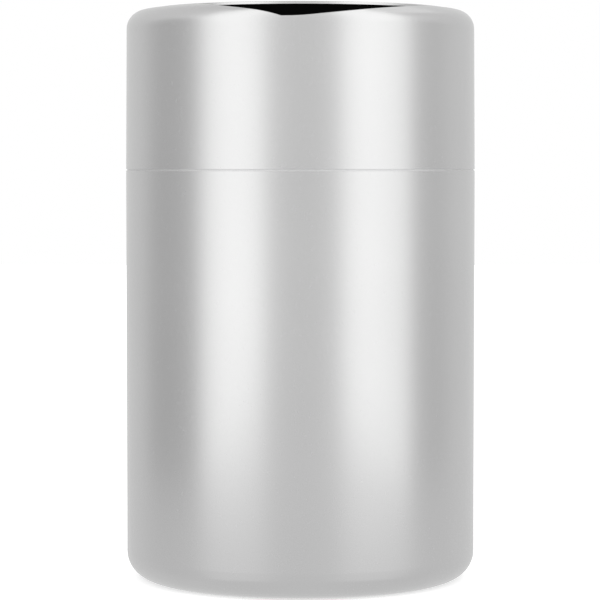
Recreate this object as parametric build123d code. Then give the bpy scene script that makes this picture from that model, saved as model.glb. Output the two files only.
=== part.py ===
from build123d import *
import math
import os

# Vacuum seal canister, in millimetres. It stands on its base with +Z up, the origin is the middle of the
# base, and the thumb scoop in the lid faces -Y. Two satin metal shells, one on the canister and one on the
# lid, cover black moulded pieces: a cup with a neck, and a deep cap that slides down over that neck past a
# rubber seal. Pressing the button in the lid pushes a rubber disc off its seat, which lets air in or out.

# Overall sizes
outer_diameter = 124.0
overall_height = 202.2
seam_height_share = 0.7191
base_round = 9.7
top_round = 6.6
lid_draft = 0.37

# Metal shells, and the fine groove where they meet: the lid's lip laps over the canister's rim
shell_wall = 1.2
shell_edge_round = 0.3
seam_gap = 0.5
seam_depth = 0.4
seam_lap = 0.5
seam_edge_round = 0.1
foot_width = 8.0
base_recess_depth = 1.6
base_recess_slope = 45
base_recess_round = 0.8
rim_land = 2.1

# Fits and running clearances
fit_gap = 0.1
running_gap = 0.3
bearing_gap = 0.08
lip_gap = 0.05
stretch_gap = 0.05
overrun = 5.0

# Thumb scoop, seen from the front: widths from the middle as shares of the canister's radius, depths down
# from the top of the lid. The heel's round takes no more than its share of the scoop's floor.
scoop_left_end_share = 17 / 31
scoop_knee_share = 8 / 31
scoop_knee_depth = 2.59
scoop_tip_share = 13 / 124
scoop_heel_share = 3 / 620
scoop_right_end_share = 111 / 155
scoop_depth = 4.9
scoop_tip_round = 0.8
scoop_heel_round = 80.0
scoop_heel_floor_share = 0.75
scoop_edge_round = 0.3
pocket_step = 1.5

# Inner cup and its neck
cup_wall = 2.4
cup_base_round = 8.0
cup_foot_width = 2.5
neck_flange_height = 4.0
mouth_round = 0.9
seal_room = 1.2
guide_rib_height = 2.0
guide_rib_lift = 2.5
seal_drop = 5.0
seal_ridge_height = 1.6
seal_ridge_reach = 0.6
seal_groove_depth = 0.5
seal_groove_height = 4.2

# Neck seal
seal_band = 0.85
seal_side_gap = 0.1
seal_lip_height = 1.1
seal_lip_rise = 0.8

# Inner cap of the lid
cap_wall = 1.9
cap_ceiling = 2.0
cap_skirt_rise = 0.8
cap_corner_round = 0.8
mouth_seat_gap = 0.3
head_depth = 13.8
hub_wall = 1.6
hub_height = 1.4
vent_hole_radius = 0.8
vent_hole_count = 6
spring_ridge_wall = 0.8
spring_ridge_height = 1.0
valve_seat_width = 1.0
valve_seat_height = 0.6

# Top insert, the black dish in the lid
insert_wall = 2.0
insert_foot_round = 0.3
dish_depth = 5.0
dish_slope_width = 4.2
dish_foot_round = 3.0
dish_lip_width = 1.0
dish_lip_drop = 0.15
dish_lip_round = 0.35
collar_width = 1.8
collar_height = 0.6
collar_round = 0.25
tube_wall = 1.6

# Bezel ring round the dish
bezel_thickness = 0.9
bezel_rise = 0.4
bezel_width = 5.0
bezel_overhang = 0.8
bezel_edge_round = 0.2

# Push button
button_radius = 12.5
button_drop = 1.2
button_travel = 3.5
button_stop_room = 0.5
button_top = 1.8
button_wall = 1.4
button_edge_round = 0.8
button_flange_reach = 1.4
button_flange_height = 1.5
button_dish_radius = 10.0
button_dish_depth = 0.7
button_boss_wall = 1.85
button_socket_depth = 4.0

# Return spring
spring_wire = 0.9
spring_mean_radius = 6.9
spring_turns = 5
spring_steps_per_turn = 4

# Vent valve on the button's stem
stem_radius = 2.5
stem_flange_radius = 4.0
stem_spigot_radius = 2.0
disc_overlap = 1.0
disc_thickness = 2.0
disc_edge_round = 0.4
washer_radius = 6.0
washer_thickness = 0.8
screw_radius = 1.4
screw_length = 9.0
screw_head_radius = 2.8
screw_head_height = 1.9
screw_head_round = 0.9
screw_slot_width = 0.8
screw_slot_length = 3.4
screw_slot_depth = 1.0

# Radii, worked out from the outside in
outer_radius = outer_diameter / 2
seam_radius = outer_radius - seam_depth
shell_bore = outer_radius - shell_wall
moulding_radius = shell_bore - fit_gap
cap_bore = moulding_radius - cap_wall
neck_radius = cap_bore - seal_room
cup_bore = neck_radius - cup_wall
lid_top_radius = outer_radius - lid_draft
rim_radius = lid_top_radius - top_round - rim_land
bezel_radius = rim_radius - fit_gap
bezel_bore = bezel_radius - bezel_width
insert_boss_radius = bezel_radius - bezel_overhang
dish_lip_radius = bezel_bore - fit_gap
dish_radius = dish_lip_radius - dish_lip_width
hole_radius = button_radius + running_gap
flange_radius = button_radius + button_flange_reach
tube_bore = flange_radius + running_gap
tube_radius = tube_bore + tube_wall
hub_bore = stem_radius + bearing_gap
hub_radius = hub_bore + hub_wall
vent_circle = (hub_radius + spring_mean_radius - spring_wire / 2) / 2
spring_ridge_bore = spring_mean_radius + spring_wire / 2 + running_gap
valve_seat_bore = vent_circle + vent_hole_radius + running_gap
disc_radius = valve_seat_bore + valve_seat_width + disc_overlap
base_recess_radius = outer_radius - base_round - foot_width

# Heights, worked out from the base up and from the top down
seam_height = overall_height * seam_height_share
body_top = seam_height - seam_gap / 2
lid_bottom = seam_height + seam_gap / 2
lap_top = lid_bottom + seam_lap
lid_top = overall_height - bezel_rise
insert_top = overall_height - bezel_thickness
deck_top = lid_top - dish_depth
deck_bottom = deck_top - insert_wall
ceiling_top = lid_top - head_depth
ceiling_bottom = ceiling_top - cap_ceiling
mouth_height = ceiling_bottom - mouth_seat_gap
cup_floor = base_recess_depth + shell_wall
hub_top = ceiling_top + hub_height
button_face = lid_top - button_drop
button_under = button_face - button_top
button_boss_bottom = hub_top + button_travel + button_stop_room
button_flange_top = deck_bottom - running_gap
button_flange_bottom = button_flange_top - button_flange_height
valve_seat = ceiling_bottom - valve_seat_height
disc_top = valve_seat - lip_gap
disc_bottom = disc_top - disc_thickness
washer_bottom = disc_bottom - washer_thickness
stem_flange_top = ceiling_bottom - running_gap
stem_top = button_boss_bottom + button_socket_depth - fit_gap


def turned(*corners):
    """A piece turned about the upright axis: each corner of its section is (radius, height, rounding)."""
    outline = FilletPolyline(
        *[(radius, height) for radius, height, _ in corners],
        radius=[rounding for _, _, rounding in corners],
        close=True,
    )
    return revolve(Plane.XZ * make_face(outline), Axis.Z)


def tube(inner, outer, bottom, top):
    """A plain ring with square edges."""
    return turned((inner, bottom, 0), (outer, bottom, 0), (outer, top, 0), (inner, top, 0))


def disc(radius, bottom, top):
    """A plain round bar or plate."""
    return Pos(0, 0, bottom) * Cylinder(radius, top - bottom, align=(Align.CENTER, Align.CENTER, Align.MIN))


def lid_radius(height):
    """The lid's outside at a height: its wall leans in a little towards the top."""
    return outer_radius - lid_draft * (height - lid_bottom) / (lid_top - lid_bottom)


def lid_moulding_radius(height):
    """The outside of the mouldings in the lid, which follow its wall."""
    return lid_radius(height) - shell_wall - fit_gap


def scoop(growth=0):
    """The thumb scoop as a bar running back from the front, grown on every side of its outline."""
    left_end = (-outer_radius * scoop_left_end_share, 0)
    right_end = (outer_radius * scoop_right_end_share, 0)
    knee = (-outer_radius * scoop_knee_share, -scoop_knee_depth)
    tip = (-outer_radius * scoop_tip_share, -scoop_depth)
    heel = (-outer_radius * scoop_heel_share, -scoop_depth)
    slope = (knee[0] - left_end[0], knee[1] - left_end[1])
    climb = math.atan2(scoop_depth, right_end[0] - heel[0])
    heel_room = scoop_heel_floor_share * (heel[0] - tip[0]) / math.tan(climb / 2)
    outline = make_face(
        Curve()
        + Line(left_end, knee)
        + TangentArc(knee, tip, tangent=slope)
        + Polyline(tip, heel, right_end, (right_end[0], overrun), (left_end[0], overrun), left_end)
    )
    outline = fillet(outline.vertices().sort_by_distance((*tip, 0))[0], scoop_tip_round)
    outline = fillet(outline.vertices().sort_by_distance((*heel, 0))[0], min(scoop_heel_round, heel_room))
    if growth:
        outline = offset(outline, growth, kind=Kind.INTERSECTION)
    bar = extrude(Plane.XZ * outline, outer_radius + overrun, dir=(0, -1, 0))
    return Pos(0, 0, lid_top) * bar


def canister_shell():
    """Metal outside of the canister: a cup with a foot ring, a raised middle and a rim for the lid."""
    slope_run = base_recess_depth / math.tan(math.radians(base_recess_slope))
    slope_shift = shell_wall * math.tan(math.radians(base_recess_slope / 2))
    recess_edge = base_recess_radius - slope_run
    rim_top = lap_top - fit_gap
    return turned(
        (0, base_recess_depth, 0),
        (recess_edge, base_recess_depth, base_recess_round),
        (base_recess_radius, 0, base_recess_round),
        (outer_radius, 0, base_round),
        (outer_radius, body_top, seam_edge_round),
        (seam_radius, body_top, 0),
        (seam_radius, rim_top, seam_edge_round),
        (shell_bore, rim_top, seam_edge_round),
        (shell_bore, shell_wall, base_round - shell_wall),
        (base_recess_radius + slope_shift, shell_wall, base_recess_round),
        (recess_edge + slope_shift, cup_floor, base_recess_round),
        (0, cup_floor, 0),
    )


def inner_cup():
    """Black cup that holds the food: its neck stands up out of the shell and carries the seal."""
    foot_bore = base_recess_radius + shell_wall + fit_gap
    flange_bottom = body_top - neck_flange_height
    cup = turned(
        (0, cup_floor, 0),
        (neck_radius, cup_floor, cup_base_round),
        (neck_radius, mouth_height, mouth_round),
        (cup_bore, mouth_height, mouth_round),
        (cup_bore, cup_floor + cup_wall, cup_base_round - cup_wall),
        (0, cup_floor + cup_wall, 0),
    )
    cup += turned(
        (neck_radius, flange_bottom - seal_room, 0),
        (moulding_radius, flange_bottom + seal_room, 0),
        (moulding_radius, body_top, shell_edge_round),
        (neck_radius, body_top, 0),
    )
    cup += tube(foot_bore, foot_bore + cup_foot_width, shell_wall + fit_gap, cup_floor + cup_wall)
    rib_bottom = body_top + guide_rib_lift
    rib_top = rib_bottom + guide_rib_height
    rib_reach = cap_bore - running_gap
    rib_slope = (rib_reach - neck_radius) / 2
    cup += turned(
        (neck_radius, rib_bottom, 0),
        (rib_reach, rib_bottom + rib_slope, 0),
        (rib_reach, rib_top - rib_slope, 0),
        (neck_radius, rib_top, 0),
    )
    groove_top = mouth_height - seal_drop
    groove_bottom = groove_top - seal_groove_height
    ridge_radius = neck_radius + seal_ridge_reach
    cup += tube(neck_radius, ridge_radius, groove_bottom - seal_ridge_height, groove_top + seal_ridge_height)
    groove_radius = neck_radius - seal_groove_depth
    return cup - tube(groove_radius, ridge_radius + overrun, groove_bottom, groove_top)


def neck_seal():
    """Rubber ring stretched into the neck's groove, with two lips that wipe the cap's bore."""
    top = mouth_height - seal_drop - seal_side_gap
    bottom = mouth_height - seal_drop - seal_groove_height + seal_side_gap
    bore = neck_radius - seal_groove_depth + stretch_gap
    band = bore + seal_band
    lip = cap_bore - lip_gap
    lower, upper = bottom + seal_side_gap, bottom + (top - bottom) / 2
    section = [(bore, bottom, 0), (band, bottom, 0)]
    for root in (lower, upper):
        lip_top = root + seal_lip_height
        section += [(band, root + seal_side_gap, 0), (lip, root + seal_lip_rise, 0)]
        section += [(lip, lip_top, 0), (band, lip_top + seal_side_gap, 0)]
    return turned(*section, (band, top, 0), (bore, top, 0))


def lid_shell():
    """Metal outside of the lid: an open sleeve with a rounded shoulder, cut by the thumb scoop."""
    inner_top = lid_top - shell_wall
    shell = turned(
        (outer_radius, lid_bottom, seam_edge_round),
        (lid_top_radius, lid_top, top_round),
        (rim_radius, lid_top, 0),
        (rim_radius, inner_top, 0),
        (lid_radius(inner_top) - shell_wall, inner_top, top_round - shell_wall),
        (lid_radius(lap_top) - shell_wall, lap_top, 0),
        (seam_radius + bearing_gap, lap_top, 0),
        (seam_radius + bearing_gap, lid_bottom, 0),
    )
    cut = scoop()
    shell -= cut
    shoulder = lid_top_radius - top_round, lid_top - top_round

    def on_outer_edge(edge):
        middle = edge @ 0.5
        out, up = math.hypot(middle.X, middle.Y) - shoulder[0], middle.Z - shoulder[1]
        outside = up > top_round - fit_gap if out < 0 else math.hypot(out, up) > top_round - fit_gap
        return outside and cut.distance_to(middle) < lip_gap

    return fillet([edge for edge in shell.edges() if on_outer_edge(edge)], scoop_edge_round)


def inner_cap():
    """Black cap inside the lid: a deep skirt, and a ceiling with the stem's hub and the vent holes."""
    skirt_bottom = lid_bottom + cap_skirt_rise
    cap = turned(
        (0, ceiling_bottom, 0),
        (cap_bore, ceiling_bottom, cap_corner_round),
        (cap_bore, skirt_bottom, shell_edge_round),
        (lid_moulding_radius(skirt_bottom), skirt_bottom, shell_edge_round),
        (lid_moulding_radius(ceiling_top), ceiling_top, cap_corner_round),
        (0, ceiling_top, 0),
    )
    cap += disc(hub_radius, ceiling_top, hub_top)
    ridge_top = ceiling_top + spring_ridge_height
    cap += tube(spring_ridge_bore, spring_ridge_bore + spring_ridge_wall, ceiling_top, ridge_top)
    cap += tube(valve_seat_bore, valve_seat_bore + valve_seat_width, valve_seat, ceiling_bottom)
    cap -= disc(hub_bore, valve_seat - overrun, hub_top + overrun)
    vent = disc(vent_hole_radius, valve_seat - overrun, hub_top + overrun)
    return cap - [place * vent for place in PolarLocations(vent_circle, vent_hole_count)]


def top_insert():
    """Black dish in the lid's top, with the button's hole and tube, and the pocket behind the scoop."""
    shoulder_top = lid_top - shell_wall - fit_gap
    shoulder_round = top_round - shell_wall - fit_gap
    hollow_radius = lid_moulding_radius(shoulder_top) - insert_wall
    hollow_top = shoulder_top - insert_wall
    slope_height = lid_top - dish_lip_drop - deck_top
    slope = math.atan2(slope_height, dish_slope_width)
    dish_foot = dish_radius - dish_slope_width
    under_foot = dish_foot + insert_wall * math.tan(slope / 2)
    under_rim = under_foot + (hollow_top - deck_bottom) / math.tan(slope)
    collar_radius = hole_radius + collar_width
    insert = turned(
        (hole_radius, deck_bottom, 0),
        (hole_radius, deck_top + collar_height, collar_round),
        (collar_radius, deck_top + collar_height, collar_round),
        (collar_radius, deck_top, 0),
        (dish_foot, deck_top, dish_foot_round),
        (dish_radius, lid_top - dish_lip_drop, dish_lip_round),
        (dish_lip_radius, lid_top - dish_lip_drop, 0),
        (dish_lip_radius, insert_top, 0),
        (insert_boss_radius, insert_top, 0),
        (insert_boss_radius, shoulder_top, 0),
        (lid_moulding_radius(shoulder_top), shoulder_top, shoulder_round),
        (lid_moulding_radius(ceiling_top), ceiling_top, insert_foot_round),
        (tube_bore, ceiling_top, 0),
        (tube_bore, deck_bottom, 0),
    )
    hollow = turned(
        (tube_radius, ceiling_top - overrun, 0),
        (hollow_radius, ceiling_top - overrun, 0),
        (hollow_radius, hollow_top, shoulder_round - insert_wall),
        (under_rim, hollow_top, 0),
        (under_foot, deck_bottom, 0),
        (tube_radius, deck_bottom, 0),
    )
    insert -= hollow - scoop(pocket_step + insert_wall)
    boss = disc(insert_boss_radius, deck_bottom - overrun, lid_top + overrun)
    return insert - (scoop(pocket_step) - boss)


def bezel_ring():
    """Thin metal ring round the dish, a little proud of the lid; its edge shows above the scoop."""
    return turned(
        (bezel_bore, insert_top, 0),
        (bezel_radius, insert_top, 0),
        (bezel_radius, overall_height, bezel_edge_round),
        (bezel_bore, overall_height, bezel_edge_round),
    )


def push_button():
    """Button with a dished top, a flange that the insert holds down, and a socket for the stem."""
    skirt_bore = button_radius - button_wall
    boss_radius = stem_radius + button_boss_wall
    button = turned(
        (0, button_under, 0),
        (skirt_bore, button_under, 0),
        (skirt_bore, button_flange_bottom, 0),
        (flange_radius, button_flange_bottom, 0),
        (flange_radius, button_flange_top, 0),
        (button_radius, button_flange_top, 0),
        (button_radius, button_face, button_edge_round),
        (0, button_face, 0),
    )
    button += disc(boss_radius, button_boss_bottom, button_under)
    socket_top = button_boss_bottom + button_socket_depth
    button -= disc(stem_radius + lip_gap, button_boss_bottom - overrun, socket_top)
    dish_sphere = (button_dish_radius**2 + button_dish_depth**2) / (2 * button_dish_depth)
    return button - Pos(0, 0, button_face - button_dish_depth + dish_sphere) * Sphere(dish_sphere)


def biarc(start, start_way, end, end_way):
    """Two arcs that run on from each other, from one point and direction to another."""
    chord = end - start
    ways = start_way + end_way
    a = 2 * (start_way.dot(end_way) - 1)
    b = -2 * chord.dot(ways)
    reach = (-b - math.sqrt(b * b - 4 * a * chord.dot(chord))) / (2 * a)
    first, last = start + start_way * reach, end - end_way * reach
    middle = (first + last) * 0.5
    return [Edge.make_tangent_arc(start, start_way, middle), Edge.make_tangent_arc(middle, last - first, end)]


def return_spring():
    """Coil spring round the hub that lifts the button and pulls the valve shut."""
    bottom = ceiling_top + lip_gap + spring_wire / 2
    rise = button_under - lip_gap - spring_wire / 2 - bottom
    steps = spring_turns * spring_steps_per_turn
    pitch = rise / spring_turns

    def at(step):
        turn = 2 * math.pi * step / spring_steps_per_turn
        outward = Vector(math.cos(turn), math.sin(turn), 0)
        along = Vector(-math.sin(turn), math.cos(turn), pitch / (2 * math.pi * spring_mean_radius))
        return outward * spring_mean_radius + Vector(0, 0, bottom + rise * step / steps), along.normalized()

    edges = []
    for step in range(steps):
        edges += biarc(*at(step), *at(step + 1))
    place, way = at(0)
    print("return_spring least gap between turns", round(pitch - spring_wire, 3))
    return sweep(Plane(place, z_dir=way) * Circle(spring_wire / 2), path=Wire(edges))


def valve_stem():
    """Rod that carries the valve: pressed into the button above, flanged over the rubber disc below."""
    stem = disc(stem_spigot_radius, washer_bottom + lip_gap, disc_top)
    stem += disc(stem_flange_radius, disc_top, stem_flange_top)
    stem += disc(stem_radius, stem_flange_top, stem_top)
    return stem - disc(screw_radius + lip_gap, washer_bottom, washer_bottom + screw_length + lip_gap)


def valve_disc():
    """Rubber disc that closes the vent against the ridge under the cap's ceiling."""
    bore = stem_spigot_radius + stretch_gap
    return turned(
        (bore, disc_bottom, 0),
        (disc_radius, disc_bottom, disc_edge_round),
        (disc_radius, disc_top, disc_edge_round),
        (bore, disc_top, 0),
    )


def valve_washer():
    """Steel washer under the rubber disc."""
    return tube(stem_spigot_radius + fit_gap, washer_radius, washer_bottom, disc_bottom)


def valve_screw():
    """Screw that clamps the washer and the disc to the stem."""
    head_bottom = washer_bottom - screw_head_height
    screw = turned(
        (0, head_bottom, 0),
        (screw_head_radius, head_bottom, screw_head_round),
        (screw_head_radius, washer_bottom, 0),
        (screw_radius, washer_bottom, 0),
        (screw_radius, washer_bottom + screw_length, 0),
        (0, washer_bottom + screw_length, 0),
    )
    slot = Pos(0, 0, head_bottom) * Box(screw_slot_length, screw_slot_width, 2 * screw_slot_depth)
    return screw - slot - Rot(0, 0, 90) * slot


pieces = [
    canister_shell,
    inner_cup,
    neck_seal,
    lid_shell,
    inner_cap,
    top_insert,
    bezel_ring,
    push_button,
    return_spring,
    valve_stem,
    valve_disc,
    valve_washer,
    valve_screw,
]

os.makedirs("parts", exist_ok=True)
for piece in pieces:
    export_step(piece(), f"parts/{piece.__name__}.step")
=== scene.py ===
import math

import bpy
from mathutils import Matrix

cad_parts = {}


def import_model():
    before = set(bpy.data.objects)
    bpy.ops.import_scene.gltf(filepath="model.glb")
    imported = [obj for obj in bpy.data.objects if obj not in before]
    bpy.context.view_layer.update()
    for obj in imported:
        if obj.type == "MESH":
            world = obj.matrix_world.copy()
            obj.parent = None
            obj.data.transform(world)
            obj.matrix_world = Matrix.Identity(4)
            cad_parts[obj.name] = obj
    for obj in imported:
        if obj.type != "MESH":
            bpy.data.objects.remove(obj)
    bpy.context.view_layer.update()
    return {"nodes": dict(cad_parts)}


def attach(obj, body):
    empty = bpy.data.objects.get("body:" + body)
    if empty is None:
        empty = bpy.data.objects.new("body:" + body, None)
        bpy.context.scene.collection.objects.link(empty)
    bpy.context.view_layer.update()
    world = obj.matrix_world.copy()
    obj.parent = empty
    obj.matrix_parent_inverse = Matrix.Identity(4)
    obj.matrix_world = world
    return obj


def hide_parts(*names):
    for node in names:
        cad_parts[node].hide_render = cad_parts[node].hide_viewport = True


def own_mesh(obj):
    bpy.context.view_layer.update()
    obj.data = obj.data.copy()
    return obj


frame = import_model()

nodes = frame["nodes"]

# Lengths here are in metres and angles in degrees. z is up from the surface that the canister stands on.

# Places on the canister: the middle and half height of the joint line, and the radius of the lid's dish
SEAM_HEIGHT = 0.1454
SEAM_BAND = 0.00035
DISH_RADIUS = 0.0478

# Camera, in front of the canister and tipped down by its pitch. Lens and sensor are in millimetres.
CAMERA_SIDE = -0.00015
CAMERA_DISTANCE = 0.9636
CAMERA_HEIGHT = 0.14725
CAMERA_PITCH = 2.87
CAMERA_LENS = 162
CAMERA_SENSOR = 36

# Floor: its reach each way, its grey, and the light of its own that makes it white to the camera
FLOOR_REACH = 3.0
FLOOR_GREY = 0.8
FLOOR_LIFT = 0.45

# In reflections the floor is an oval white table. Each step of its fade is a share of the way out, and how
# far the table has given way to the light beyond it.
TABLE_HALF_WIDTH = 0.400
TABLE_HALF_DEPTH = 0.943
TABLE_FADE_SHARES = ((0.0, 0.12), (0.88, 0.42), (1.0, 1.0))

# The world's light falls towards two sides: each one's direction, and the level there. The fall starts and
# ends where the dot product with the direction has these values.
SIDE_DIMMING = (((-1, -0.04, -0.14), 0.70), ((0.98, -0.17, -0.25), 0.81))
DIMMING_START = 0.80
DIMMING_END = 0.97

# Two upright soft boxes in front: name, azimuth from -Y towards +X, width and radiance. They reach below the
# floor, for the reflections that look out past the table's edge.
BOX_DISTANCE = 0.95
BOX_BOTTOM = -0.75
BOX_TOP = 2.6
SOFT_BOXES = (
    ("soft_box_left", -44.0, 0.766, 0.93),
    ("soft_box_right", 49.7, 0.844, 0.935),
)

# One level soft box above, square
OVERHEAD_PLACE = (0.85, 0.55, 1.6)
OVERHEAD_SIZE = 1.3
OVERHEAD_RADIANCE = 0.3

# How high the fine relief of each finish stands
METAL_RELIEF = 0.000001
STEEL_RELIEF = 0.000003
BUTTON_RELIEF = 0.000005
PLASTIC_RELIEF = 0.00001
RUBBER_RELIEF = 0.00001

# A noise texture's values lie mostly between these two.
NOISE_LOW = 0.3
NOISE_HIGH = 0.7

RIGHT_ANGLE = math.radians(90)


class Nodes:
    """A node tree with short calls for adding nodes and linking them."""

    def __init__(self, tree):
        self.tree = tree
        tree.nodes.clear()

    def add(self, kind, values=None, **settings):
        """A new node: values are for its sockets, by name or number, and settings for the node itself."""
        node = self.tree.nodes.new(kind)
        for name, value in settings.items():
            setattr(node, name, value)
        for socket, value in (values or {}).items():
            node.inputs[socket].default_value = value
        return node

    def link(self, source, output, target, socket):
        self.tree.links.new(source.outputs[output], target.inputs[socket])


# Materials

class Material(Nodes):
    """A principled material, with calls for what every finish here uses."""

    def __init__(self, name, **constants):
        """The constants go straight on the shader's sockets of those names."""
        self.material = bpy.data.materials.new(name)
        self.material.use_nodes = True
        super().__init__(self.material.node_tree)
        values = {socket.replace("_", " "): value for socket, value in constants.items()}
        self.shader = self.add("ShaderNodeBsdfPrincipled", values)
        self.place = self.add("ShaderNodeTexCoord")
        self.link(self.shader, "BSDF", self.add("ShaderNodeOutputMaterial"), "Surface")

    def stretched(self, scale):
        """Object coordinates, stretched by a scale for each axis."""
        mapping = self.add("ShaderNodeMapping", {"Scale": scale})
        self.link(self.place, "Object", mapping, "Vector")
        return mapping

    def noise(self, scale, stretch=(1, 1, 1), detail=3, roughness=0.5):
        """Noise in object coordinates: scale is in cells a metre."""
        texture = self.add("ShaderNodeTexNoise", {"Scale": scale, "Detail": detail, "Roughness": roughness})
        self.link(self.stretched(stretch), "Vector", texture, "Vector")
        return texture

    def spread(self, texture, low, high, mask=None, more=0):
        """The texture's middle range spread from low to high, with more added where the mask is 1."""
        ramp = self.add("ShaderNodeMapRange", {
            "From Min": NOISE_LOW, "From Max": NOISE_HIGH, "To Min": low, "To Max": high})
        self.link(texture, "Fac", ramp, "Value")
        if mask is None:
            return ramp, "Result"
        total = self.add("ShaderNodeMath", {1: more}, operation="MULTIPLY_ADD")
        self.link(mask, "Value", total, 0)
        self.link(ramp, "Result", total, 2)
        return total, "Value"

    def grey(self, texture, **spread):
        """The base colour as a grey that the texture moves."""
        value = self.spread(texture, **spread)
        colour = self.add("ShaderNodeCombineColor")
        for channel in ("Red", "Green", "Blue"):
            self.link(*value, colour, channel)
        self.link(colour, "Color", self.shader, "Base Color")

    def rough(self, texture, **spread):
        """The roughness, moved by the texture."""
        self.link(*self.spread(texture, **spread), self.shader, "Roughness")

    def bump(self, texture, height, strength):
        """Relief from the texture."""
        bump = self.add("ShaderNodeBump", {"Distance": height, "Strength": strength})
        self.link(texture, "Fac", bump, "Height")
        self.link(bump, "Normal", self.shader, "Normal")


def satin_metal():
    """Satin metal with fine draw lines up the wall, faint clouding, and a duller joint line whose grey is
    painted paler as a painted highlight.
    """
    m = Material("satin_metal", Metallic=1.0, Anisotropic=0.7)
    grain = m.noise(scale=2200, stretch=(2, 2, 0.3), detail=3, roughness=0.6)
    split = m.add("ShaderNodeSeparateXYZ")
    joint = m.add("ShaderNodeMath", {1: SEAM_HEIGHT, 2: SEAM_BAND}, operation="COMPARE")
    m.link(m.place, "Object", split, "Vector")
    m.link(split, "Z", joint, 0)
    # Painted highlight: the joint band's grey is raised to stand in for light caught in the joint line; its
    # extra roughness below is the duller finish there.
    m.grey(m.noise(scale=18), low=0.494, high=0.508, mask=joint, more=0.05)
    m.rough(grain, low=0.245, high=0.275, mask=joint, more=0.13)
    m.bump(grain, METAL_RELIEF, strength=0.1)
    return m.material


def black_plastic():
    """Moulded black plastic with a fine matt grain and faint flow clouding."""
    m = Material("black_plastic", Specular_IOR_Level=0.3)
    grain = m.noise(scale=2600, detail=2)
    m.grey(m.noise(scale=40, detail=2), low=0.010, high=0.015)
    m.rough(grain, low=0.45, high=0.60)
    m.bump(grain, PLASTIC_RELIEF, strength=0.5)
    return m.material


def dish_plastic_painted_pocket_shade():
    """Matt black plastic of the lid's top, paler in the dish; the pocket behind the scoop is painted darker,
    a painted shade for the recess.
    """
    m = Material("dish_plastic_painted_pocket_shade", Specular_IOR_Level=0.03)
    grain = m.noise(scale=2600, detail=2)
    outward = m.add("ShaderNodeVectorMath", operation="LENGTH")
    dish = m.add("ShaderNodeMath", {1: DISH_RADIUS}, operation="LESS_THAN")
    m.link(m.stretched((1, 1, 0)), "Vector", outward, 0)
    m.link(outward, "Value", dish, 0)
    # Painted shade: outside the dish radius, in the pocket behind the scoop, the grey is made darker to
    # stand in for shade in the recess.
    m.grey(m.noise(scale=40, detail=2), low=0.0003, high=0.0008, mask=dish, more=0.012)
    m.rough(grain, low=0.50, high=0.62)
    m.bump(grain, PLASTIC_RELIEF, strength=0.5)
    return m.material


def button_plastic():
    """Smoother and slightly shinier black plastic of the button and its stem."""
    m = Material("button_plastic", Specular_IOR_Level=0.35)
    grain = m.noise(scale=1800, detail=2)
    m.grey(m.noise(scale=60), low=0.012, high=0.017)
    m.rough(grain, low=0.32, high=0.42)
    m.bump(grain, BUTTON_RELIEF, strength=0.4)
    return m.material


def seal_rubber():
    """Dull rubber with a soft bloom."""
    m = Material("seal_rubber", Specular_IOR_Level=0.25)
    m.grey(m.noise(scale=150), low=0.030, high=0.050)
    m.rough(m.noise(scale=1200), low=0.65, high=0.8)
    m.bump(m.noise(scale=1500, detail=2), RUBBER_RELIEF, strength=0.6)
    return m.material


def spring_steel():
    """Drawn steel wire and turned steel."""
    m = Material("spring_steel", Metallic=1.0)
    m.grey(m.noise(scale=300), low=0.56, high=0.64)
    m.rough(m.noise(scale=2500), low=0.22, high=0.34)
    m.bump(m.noise(scale=2500, detail=2), STEEL_RELIEF, strength=0.5)
    return m.material


FINISHES = {
    satin_metal: ("canister_shell", "lid_shell", "bezel_ring"),
    black_plastic: ("inner_cup", "inner_cap"),
    dish_plastic_painted_pocket_shade: ("top_insert",),
    button_plastic: ("push_button", "valve_stem"),
    seal_rubber: ("neck_seal", "valve_disc"),
    spring_steel: ("return_spring", "valve_washer", "valve_screw"),
}
for finish, names in FINISHES.items():
    material = finish()
    for name in names:
        materials = nodes[name].data.materials
        materials.clear()
        materials.append(material)


# The return spring as a piece of its own

def squashing_spring():
    """The return spring as a piece of its own: a copy of its mesh, carried with the lid, in place of the CAD
    spring.
    """
    spring = nodes["return_spring"]
    coil = bpy.data.objects.new("return_coil", spring.data.copy())
    bpy.context.scene.collection.objects.link(coil)
    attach(coil, "lid")
    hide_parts("return_spring")
    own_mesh(coil)


squashing_spring()


# Studio: a pale floor, two tall soft boxes in front, a weak one above, and an even world with dimmer sides

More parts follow.
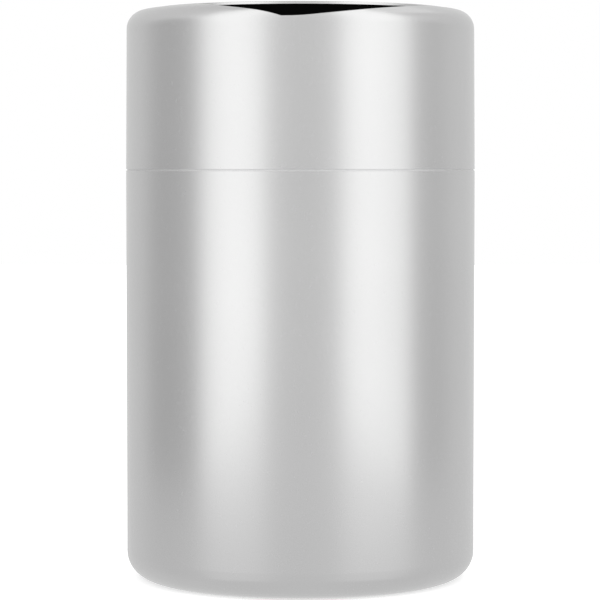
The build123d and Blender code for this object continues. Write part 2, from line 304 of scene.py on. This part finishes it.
def floor_material():
    """White to look at, with the canister's soft shadow on it. In reflections it ends as a table does."""
    material = bpy.data.materials.new("floor_white")
    material.use_nodes = True
    made = Nodes(material.node_tree)

    diffuse = made.add("ShaderNodeBsdfDiffuse", {"Color": (FLOOR_GREY, FLOOR_GREY, FLOOR_GREY, 1)})
    lift = made.add("ShaderNodeEmission")
    lift_level = made.add("ShaderNodeMath", {1: FLOOR_LIFT}, operation="MULTIPLY")
    looked_at = made.add("ShaderNodeAddShader")
    path = made.add("ShaderNodeLightPath")
    made.link(path, "Is Camera Ray", lift_level, 0)
    made.link(lift_level, "Value", lift, "Strength")
    made.link(diffuse, "BSDF", looked_at, 0)
    made.link(lift, "Emission", looked_at, 1)

    place = made.add("ShaderNodeTexCoord")
    oval = made.add("ShaderNodeMapping", {"Scale": (1 / TABLE_HALF_WIDTH, 1 / TABLE_HALF_DEPTH, 0)})
    outward = made.add("ShaderNodeVectorMath", operation="LENGTH")
    fade = made.add("ShaderNodeValToRGB")
    stops = fade.color_ramp.elements
    ready_stops = len(stops)
    for number, (at, level) in enumerate(TABLE_FADE_SHARES):
        stop = stops[number] if number < ready_stops else stops.new(at)
        stop.position, stop.color = at, (level, level, level, 1)
    table = made.add("ShaderNodeMixShader")
    made.link(place, "Object", oval, "Vector")
    made.link(oval, "Vector", outward, 0)
    made.link(outward, "Value", fade, "Fac")
    made.link(fade, "Color", table, "Fac")
    made.link(made.add("ShaderNodeEmission"), "Emission", table, 1)
    made.link(made.add("ShaderNodeBsdfTransparent"), "BSDF", table, 2)

    reflected = made.add("ShaderNodeMath", operation="MAXIMUM")
    both = made.add("ShaderNodeMixShader")
    made.link(path, "Is Glossy Ray", reflected, 0)
    made.link(path, "Is Transmission Ray", reflected, 1)
    made.link(reflected, "Value", both, "Fac")
    made.link(looked_at, "Shader", both, 1)
    made.link(table, "Shader", both, 2)
    made.link(both, "Shader", made.add("ShaderNodeOutputMaterial"), "Surface")
    return material


def floor():
    """One square, level with the canister's foot."""
    reach = FLOOR_REACH
    corners = [(-reach, -reach, 0), (reach, -reach, 0), (reach, reach, 0), (-reach, reach, 0)]
    mesh = bpy.data.meshes.new("floor")
    mesh.from_pydata(corners, [], [(0, 1, 2, 3)])
    mesh.materials.append(floor_material())
    piece = bpy.data.objects.new("floor", mesh)
    bpy.context.scene.collection.objects.link(piece)


def soft_box(name, width, height, radiance):
    """A rectangular soft box that faces down and has an even radiance. Its lamp is placed by the caller."""
    light = bpy.data.lights.new(name, "AREA")
    light.shape = "RECTANGLE"
    light.size, light.size_y = width, height
    light.energy = radiance * math.pi * width * height
    lamp = bpy.data.objects.new(name, light)
    bpy.context.scene.collection.objects.link(lamp)
    return lamp


def upright_box(name, azimuth, width, radiance):
    """An upright soft box that faces the canister."""
    lamp = soft_box(name, width, BOX_TOP - BOX_BOTTOM, radiance)
    turn = math.radians(azimuth)
    middle = (BOX_BOTTOM + BOX_TOP) / 2
    lamp.location = (BOX_DISTANCE * math.sin(turn), -BOX_DISTANCE * math.cos(turn), middle)
    lamp.rotation_euler = (RIGHT_ANGLE, 0, turn)


def world():
    """White to look at. Its light is even all round, but dimmer from the two sides."""
    studio = bpy.data.worlds.new("studio")
    bpy.context.scene.world = studio
    studio.use_nodes = True
    made = Nodes(studio.node_tree)
    place = made.add("ShaderNodeTexCoord")
    both_sides = made.add("ShaderNodeMath", operation="MULTIPLY")
    for number, (side, low) in enumerate(SIDE_DIMMING):
        towards = made.add("ShaderNodeVectorMath", {1: side}, operation="DOT_PRODUCT")
        dim = made.add("ShaderNodeMapRange", {
            "From Min": DIMMING_START, "From Max": DIMMING_END, "To Min": 1, "To Max": low,
        }, interpolation_type="SMOOTHSTEP")
        made.link(place, "Generated", towards, 0)
        made.link(towards, "Value", dim, "Value")
        made.link(dim, "Result", both_sides, number)
    path = made.add("ShaderNodeLightPath")
    level = made.add("ShaderNodeMath", operation="MAXIMUM")
    back = made.add("ShaderNodeBackground", {"Color": (1, 1, 1, 1)})
    made.link(both_sides, "Value", level, 0)
    made.link(path, "Is Camera Ray", level, 1)
    made.link(level, "Value", back, "Strength")
    made.link(back, "Background", made.add("ShaderNodeOutputWorld"), "Surface")


floor()
world()
for box in SOFT_BOXES:
    upright_box(*box)
overhead = soft_box("soft_box_above", OVERHEAD_SIZE, OVERHEAD_SIZE, OVERHEAD_RADIANCE)
overhead.location = OVERHEAD_PLACE

camera_data = bpy.data.cameras.new("camera")
camera_data.lens = CAMERA_LENS
camera_data.sensor_width = CAMERA_SENSOR
camera = bpy.data.objects.new("camera", camera_data)
bpy.context.scene.collection.objects.link(camera)
camera.location = (CAMERA_SIDE, -CAMERA_DISTANCE, CAMERA_HEIGHT)
camera.rotation_euler = (RIGHT_ANGLE - math.radians(CAMERA_PITCH), 0, 0)
bpy.context.scene.camera = camera
bpy.context.scene.view_settings.view_transform = "Standard"
